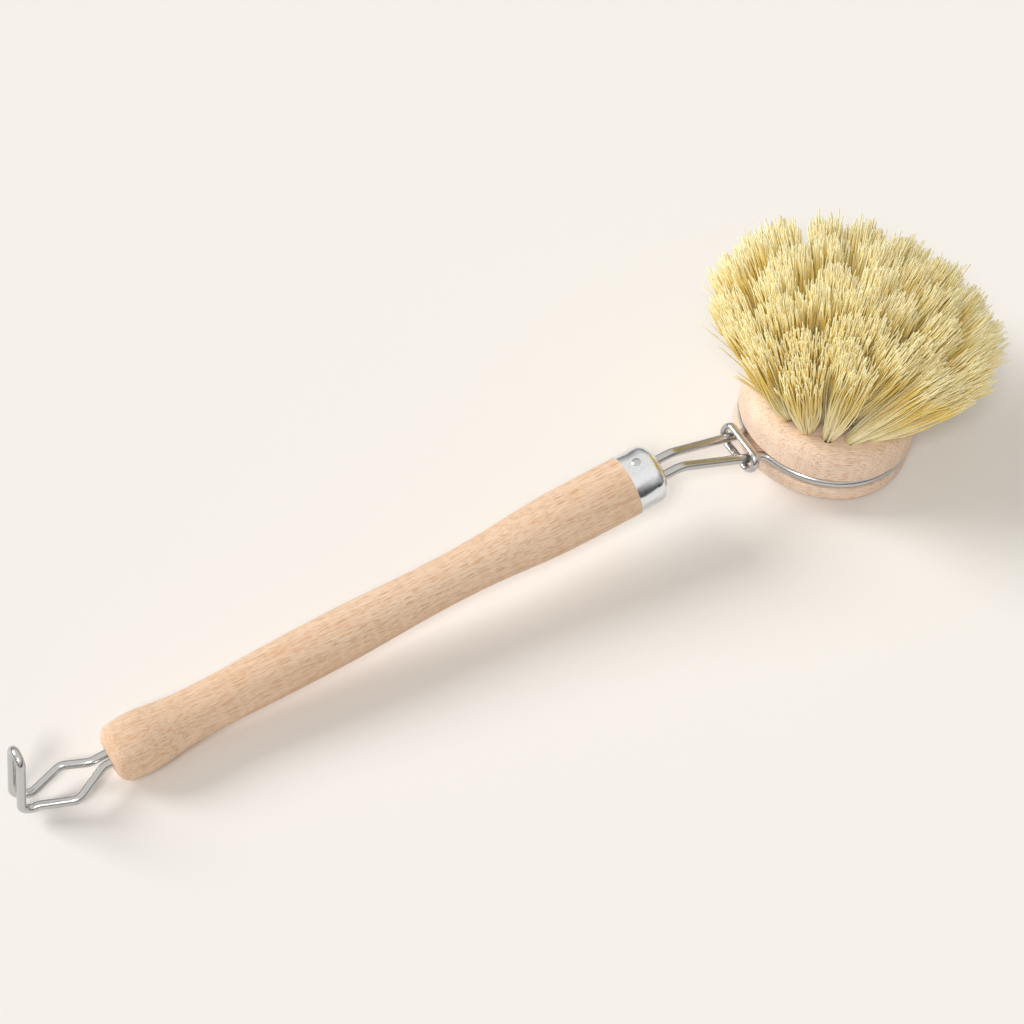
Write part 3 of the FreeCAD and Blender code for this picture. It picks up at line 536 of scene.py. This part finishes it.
def beech_group():
    """Beech with its grain along the vector's x axis.

    Slow noise drawn out along the grain mixes pale and warm wood, fine noise adds fibres, and two sizes of
    flecks lie along the grain, their places bent a little by another noise.
    """
    group = bpy.data.node_groups.get("Beech grain")
    if group:
        return group
    sockets = [("Vector", "NodeSocketVector"), ("Pale", "NodeSocketColor"), ("Warm", "NodeSocketColor"),
               ("Fleck", "NodeSocketColor"), ("Roughness", "NodeSocketFloat")]
    group, start, end = new_group("Beech grain", sockets, [("Color", "NodeSocketColor"),
                                  ("Roughness", "NodeSocketFloat"), ("Height", "NodeSocketFloat")])
    vector = start.outputs["Vector"]
    fleck = start.outputs["Fleck"]
    growth = add_noise(group, add_scaled(group, vector, GROWTH_SCALE), 1.0, detail=3.0, roughness=0.55)
    fibre = add_noise(group, add_scaled(group, vector, GRAIN_SCALE), 1.0, detail=2.0, roughness=0.65)
    wander = group.nodes.new("ShaderNodeTexNoise")
    wander.inputs["Scale"].default_value = WANDER_SCALE
    group.links.new(vector, wander.inputs["Vector"])
    bent = group.nodes.new("ShaderNodeVectorMath")
    bent.operation = "MULTIPLY_ADD"
    group.links.new(wander.outputs["Color"], bent.inputs[0])
    bent.inputs[1].default_value = WANDER_STEP
    group.links.new(vector, bent.inputs[2])
    small = add_flecks(group, bent.outputs["Vector"], **SMALL_FLECKS)
    large = add_flecks(group, bent.outputs["Vector"], **LARGE_FLECKS)
    wood = add_mix(group, add_range(group, growth, *GROWTH_MAP), start.outputs["Pale"], start.outputs["Warm"])
    wood = add_mix(group, add_range(group, fibre, *GRAIN_MAP), wood, fleck)
    wood = add_mix(group, add_math(group, "MULTIPLY", small, SMALL_FLECK_DEPTH), wood, fleck)
    wood = add_mix(group, add_math(group, "MULTIPLY", large, LARGE_FLECK_DEPTH), wood, fleck)
    group.links.new(wood, end.inputs["Color"])
    uneven = add_range(group, fibre, *GRAIN_ROUGHNESS_MAP)
    group.links.new(add_math(group, "ADD", start.outputs["Roughness"], uneven), end.inputs["Roughness"])
    height = add_math(group, "SUBTRACT", fibre, add_math(group, "MAXIMUM", small, large))
    group.links.new(height, end.inputs["Height"])
    return group


def beech_material(name, settings, pale, warm, pitch, twist):
    """Sanded beech on Object coordinates, its grain turned about y by pitch and about z by twist."""
    material, tree, shader = new_material(name)
    place = tree.nodes.new("ShaderNodeTexCoord")
    mapping = tree.nodes.new("ShaderNodeMapping")
    mapping.inputs["Rotation"].default_value = (0.0, pitch, twist)
    tree.links.new(place.outputs["Object"], mapping.inputs["Vector"])
    grain = tree.nodes.new("ShaderNodeGroup")
    grain.node_tree = beech_group()
    tree.links.new(mapping.outputs["Vector"], grain.inputs["Vector"])
    grain.inputs["Pale"].default_value = (*pale, 1.0)
    grain.inputs["Warm"].default_value = (*warm, 1.0)
    grain.inputs["Fleck"].default_value = (*settings.fleck, 1.0)
    grain.inputs["Roughness"].default_value = settings.roughness
    tree.links.new(grain.outputs["Color"], shader.inputs["Base Color"])
    tree.links.new(grain.outputs["Roughness"], shader.inputs["Roughness"])
    bump = tree.nodes.new("ShaderNodeBump")
    bump.inputs["Strength"].default_value = GRAIN_BUMP
    bump.inputs["Distance"].default_value = GRAIN_RELIEF
    tree.links.new(grain.outputs["Height"], bump.inputs["Height"])
    tree.links.new(bump.outputs["Normal"], shader.inputs["Normal"])
    shader.inputs["Specular IOR Level"].default_value = 0.25
    return material


def worn_metal_group():
    """Worn metal: slow noise for soft dents as height, and fine noise for scuffs as roughness and wear."""
    group = bpy.data.node_groups.get("Worn metal")
    if group:
        return group
    sockets = [("Vector", "NodeSocketVector"), ("Roughness", "NodeSocketFloat"), ("Scale", "NodeSocketFloat")]
    group, start, end = new_group("Worn metal", sockets, [("Roughness", "NodeSocketFloat"),
                                  ("Height", "NodeSocketFloat"), ("Wear", "NodeSocketFloat")])
    scaled = group.nodes.new("ShaderNodeVectorMath")
    scaled.operation = "SCALE"
    group.links.new(start.outputs["Vector"], scaled.inputs[0])
    group.links.new(start.outputs["Scale"], scaled.inputs["Scale"])
    dents = add_noise(group, scaled.outputs["Vector"], 1.0, detail=1.0, roughness=0.4)
    scuffs = add_noise(group, scaled.outputs["Vector"], SCUFF_SCALE, detail=4.0, roughness=0.65)
    uneven = add_range(group, scuffs, *SCUFF_ROUGHNESS_MAP)
    group.links.new(add_math(group, "ADD", start.outputs["Roughness"], uneven), end.inputs["Roughness"])
    group.links.new(dents, end.inputs["Height"])
    group.links.new(add_range(group, scuffs, *WEAR_MAP), end.inputs["Wear"])
    return group


def metal_material(name, metal_colour, roughness, scale, dent):
    """Metal with soft dents and scuffs; scale is the dents' per metre and dent their depth in metres."""
    material, tree, shader = new_material(name)
    place = tree.nodes.new("ShaderNodeTexCoord")
    worn = tree.nodes.new("ShaderNodeGroup")
    worn.node_tree = worn_metal_group()
    tree.links.new(place.outputs["Object"], worn.inputs["Vector"])
    worn.inputs["Roughness"].default_value = roughness
    worn.inputs["Scale"].default_value = scale
    tree.links.new(worn.outputs["Roughness"], shader.inputs["Roughness"])
    dull = [channel * DULL_SHARE for channel in metal_colour]
    tree.links.new(add_mix(tree, worn.outputs["Wear"], metal_colour, dull), shader.inputs["Base Color"])
    bump = tree.nodes.new("ShaderNodeBump")
    bump.inputs["Strength"].default_value = 1.0
    bump.inputs["Distance"].default_value = dent
    tree.links.new(worn.outputs["Height"], bump.inputs["Height"])
    tree.links.new(bump.outputs["Normal"], shader.inputs["Normal"])
    shader.inputs["Metallic"].default_value = 1.0
    return material


def fibre_material(settings):
    """Plant fibre: golden along its length, with its own tone; paler at the root and at the cut end as
    painted light, lifting the shade among the roots and highlighting the tips.
    """
    material, tree, shader = new_material("Fibre")
    along = tree.nodes.new("ShaderNodeAttribute")
    along.attribute_name = "along"
    tone = tree.nodes.new("ShaderNodeAttribute")
    tone.attribute_name = "tone"
    # Painted light: the fibre turns pale towards the root to lift the shade among the roots.
    lower = add_range(tree, along.outputs["Fac"], *ROOT_LIGHT_MAP)
    # Painted highlight: the fibre turns pale towards its cut end, as if lit there.
    upper = add_range(tree, along.outputs["Fac"], *TIP_HIGHLIGHT_MAP)
    fibre = add_mix(tree, lower, settings.painted_root_light, settings.body_colour)
    fibre = add_mix(tree, upper, fibre, settings.tip_highlight_and_pale_tone)
    # Fibres of pale random tone lean to the same pale colour as the tips.
    pale = add_range(tree, tone.outputs["Fac"], *PALE_TONE_MAP)
    fibre = add_mix(tree, pale, fibre, settings.tip_highlight_and_pale_tone)
    dark = add_range(tree, tone.outputs["Fac"], *DARK_TONE_MAP)
    fibre = add_mix(tree, dark, fibre, settings.dark_colour)
    tree.links.new(fibre, shader.inputs["Base Color"])
    shader.inputs["Roughness"].default_value = 0.5
    shader.inputs["Specular IOR Level"].default_value = 0.25
    return material


def add_patch(tree, vector, direction, edge, amount):
    """Round patch of the room: an amount that comes in as the cosine from a direction passes an edge."""
    node = tree.nodes.new("ShaderNodeVectorMath")
    node.operation = "DOT_PRODUCT"
    tree.links.new(vector, node.inputs[0])
    node.inputs[1].default_value = direction
    return add_range(tree, node.outputs["Value"], *edge, 0.0, amount)


def add_sun(name, energy, size, height, heading):
    """Distant lamp of an apparent size, that shines from a height and a heading."""
    light = bpy.data.lights.new(name, "SUN")
    light.energy = energy
    light.angle = size
    lamp = bpy.data.objects.new(name, light)
    lamp.rotation_euler = (math.pi / 2 - height, 0.0, heading + math.pi / 2)
    bpy.context.scene.collection.objects.link(lamp)


def add_table(settings):
    """Wide flat table under the brush, which belongs to the stage."""
    corners = np.array([[-1, -1, 0], [1, -1, 0], [1, 1, 0], [-1, 1, 0]]) * TABLE_REACH
    mesh = bpy.data.meshes.new("table")
    mesh.from_pydata(corners.tolist(), [], [(0, 1, 2, 3)])
    material, _, shader = new_material("Table")
    shader.inputs["Base Color"].default_value = (*settings.table, 1.0)
    shader.inputs["Roughness"].default_value = 0.9
    shader.inputs["Specular IOR Level"].default_value = 0.1
    mesh.materials.append(material)
    table = bpy.data.objects.new("table", mesh)
    bpy.context.scene.collection.objects.link(table)


def add_room(settings):
    """Soft light from all round, brighter from above; reflections show a panel and a dark corner."""
    world = bpy.data.worlds.new("Soft room")
    world.use_nodes = True
    tree = world.node_tree
    tree.nodes.clear()
    place = tree.nodes.new("ShaderNodeTexCoord").outputs["Generated"]
    parts = tree.nodes.new("ShaderNodeSeparateXYZ")
    tree.links.new(place, parts.inputs["Vector"])
    sky = [settings.sky * share for share in SKY_SHARES]
    soft = add_range(tree, parts.outputs["Z"], 0.0, SKY_TOP, *sky)
    walls = [settings.gloss * share for share in ROOM_SHARES]
    room = add_range(tree, parts.outputs["Z"], 0.0, ROOM_TOP, *walls)
    panel = add_patch(tree, place, settings.panel_facing, PANEL_EDGE, settings.panel)
    dusk = add_patch(tree, place, settings.dusk_facing, DUSK_EDGE, settings.dusk)
    room = add_math(tree, "SUBTRACT", add_math(tree, "ADD", room, panel), dusk)
    shiny = tree.nodes.new("ShaderNodeLightPath").outputs["Is Glossy Ray"]
    lit = add_math(tree, "MULTIPLY", soft, add_math(tree, "SUBTRACT", 1.0, shiny))
    strength = add_math(tree, "ADD", lit, add_math(tree, "MULTIPLY", room, shiny))
    background = tree.nodes.new("ShaderNodeBackground")
    background.inputs["Color"].default_value = (*settings.tint, 1.0)
    tree.links.new(strength, background.inputs["Strength"])
    output = tree.nodes.new("ShaderNodeOutputWorld")
    tree.links.new(background.outputs["Background"], output.inputs["Surface"])
    bpy.context.scene.world = world


def add_camera(settings):
    """Camera at the photograph's viewing angle."""
    lens = bpy.data.cameras.new("camera")
    lens.lens = settings.lens
    lens.sensor_width = SENSOR_WIDTH
    lens.sensor_fit = "HORIZONTAL"
    camera = bpy.data.objects.new("camera", lens)
    camera.location = settings.camera_place
    camera.rotation_euler = (settings.camera_tilt, settings.camera_roll, settings.camera_heading)
    bpy.context.scene.collection.objects.link(camera)
    bpy.context.scene.camera = camera


def dress(node, material):
    """Gives a CAD node's object one material."""
    mesh = frame["nodes"][node].data
    mesh.materials.clear()
    mesh.materials.append(material)


class BRUSH_OT_bristles(bpy.types.Operator):
    """Make the fibre tufts of all rings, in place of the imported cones"""

    bl_idname = "brush.bristles"
    bl_label = "Bristles"

    def execute(self, context):
        settings = context.scene.brush_bristles
        scatter = np.random.default_rng(settings.seed)
        material = fibre_material(settings)
        rings = [("outer", settings.outer_radius, settings.outer_lean),
                 ("middle", settings.middle_radius, settings.middle_lean),
                 ("inner", settings.inner_radius, settings.inner_lean),
                 ("centre", 0.0, 0.0)]
        for name, radius, lean in rings:
            nodes = sorted(node for node in frame["nodes"] if node.startswith(f"{name}_tuft"))
            tufts = len(nodes)
            turns = (np.arange(tufts) + 0.5) * (2 * np.pi / tufts) + scatter.normal(0.0, TURN_SCATTER, tufts)
            leans = tuft_leans(settings, radius, lean, turns) + scatter.normal(0.0, LEAN_SCATTER, (tufts, 2))
            base, axes = tuft_frames(settings, radius, leans, turns)
            centres, radii, values = tuft_fibres(settings, scatter, base, axes)
            if name == "outer":
                more = stray_fibres(settings, scatter, base, axes)
                centres = np.concatenate([centres, more[0]])
                radii = np.concatenate([radii, more[1]])
                values = {label: np.concatenate([values[label], more[2][label]]) for label in values}
            mesh = tube_mesh(f"{name}_bristles", centres, radii, FIBRE_SIDES, values)
            add_piece(f"{name}_bristles", mesh, material, "head", nodes)
        return {"FINISHED"}


class BRUSH_OT_beech(bpy.types.Operator):
    """Give the handle and the head block their beech"""

    bl_idname = "brush.beech"
    bl_label = "Beech"

    def execute(self, context):
        settings = context.scene.brush_beech
        slope = math.asin(head_axes()[0][2])
        handle = beech_material("Handle beech", settings, settings.pale, settings.warm, settings.handle_slope,
                                settings.handle_twist)
        block = beech_material("Block beech", settings, settings.block_pale, settings.block_warm, slope,
                               settings.block_twist)
        dress("handle", handle)
        dress("head_block", block)
        return {"FINISHED"}


class BRUSH_OT_metal(bpy.types.Operator):
    """Give the ferrule, the tack and all the wire their metal"""

    bl_idname = "brush.metal"
    bl_label = "Tinplate and wire"

    def execute(self, context):
        settings = context.scene.brush_metal
        rough = settings.tinplate_roughness
        dress("ferrule", metal_material("Tinplate", settings.tinplate, rough, **TINPLATE_DENTS))
        dress("ferrule_tack", metal_material("Tack", settings.tack, rough, **WIRE_DENTS))
        wire = metal_material("Plated wire", settings.wire, settings.wire_roughness, **WIRE_DENTS)
        for node in WIRE_NODES:
            dress(node, wire)
        return {"FINISHED"}


class BRUSH_OT_stage(bpy.types.Operator):
    """Set the pale table, the soft light and the camera"""

    bl_idname = "brush.stage"
    bl_label = "Table, light and camera"

    def execute(self, context):
        settings = context.scene.brush_stage
        add_table(settings)
        add_room(settings)
        add_sun("key", settings.key, settings.key_size, settings.key_height, settings.key_heading)
        add_sun("fill", settings.fill, settings.fill_size, settings.fill_height, settings.fill_heading)
        add_camera(settings)
        context.scene.view_settings.view_transform = "Standard"
        return {"FINISHED"}


class BRUSH_PT_sidebar(bpy.types.Panel):
    """Lists the brush's pieces and the stage"""

    bl_idname = "BRUSH_PT_sidebar"
    bl_label = "Dish Brush"
    bl_space_type = "VIEW_3D"
    bl_region_type = "UI"
    bl_category = "Brush"

    def draw(self, context):
        for operator in OPERATORS:
            self.layout.operator(operator.bl_idname)


OPERATORS = (BRUSH_OT_bristles, BRUSH_OT_beech, BRUSH_OT_metal, BRUSH_OT_stage)
GROUPS = {"brush_bristles": BrushBristles, "brush_beech": BrushBeech, "brush_metal": BrushMetal,
          "brush_stage": BrushStage}


def register():
    """Registers the settings, the operators and the panel."""
    for name, group in GROUPS.items():
        bpy.utils.register_class(group)
        setattr(bpy.types.Scene, name, PointerProperty(type=group))
    for operator in OPERATORS:
        bpy.utils.register_class(operator)
    bpy.utils.register_class(BRUSH_PT_sidebar)


def unregister():
    """Takes the panel, the operators and the settings away again."""
    bpy.utils.unregister_class(BRUSH_PT_sidebar)
    for operator in reversed(OPERATORS):
        bpy.utils.unregister_class(operator)
    for name, group in GROUPS.items():
        delattr(bpy.types.Scene, name)
        bpy.utils.unregister_class(group)


def main():
    """Makes the pieces in order."""
    register()
    bpy.ops.brush.bristles()
    bpy.ops.brush.beech()
    bpy.ops.brush.metal()
    bpy.ops.brush.stage()


if __name__ == "__main__":
    main()
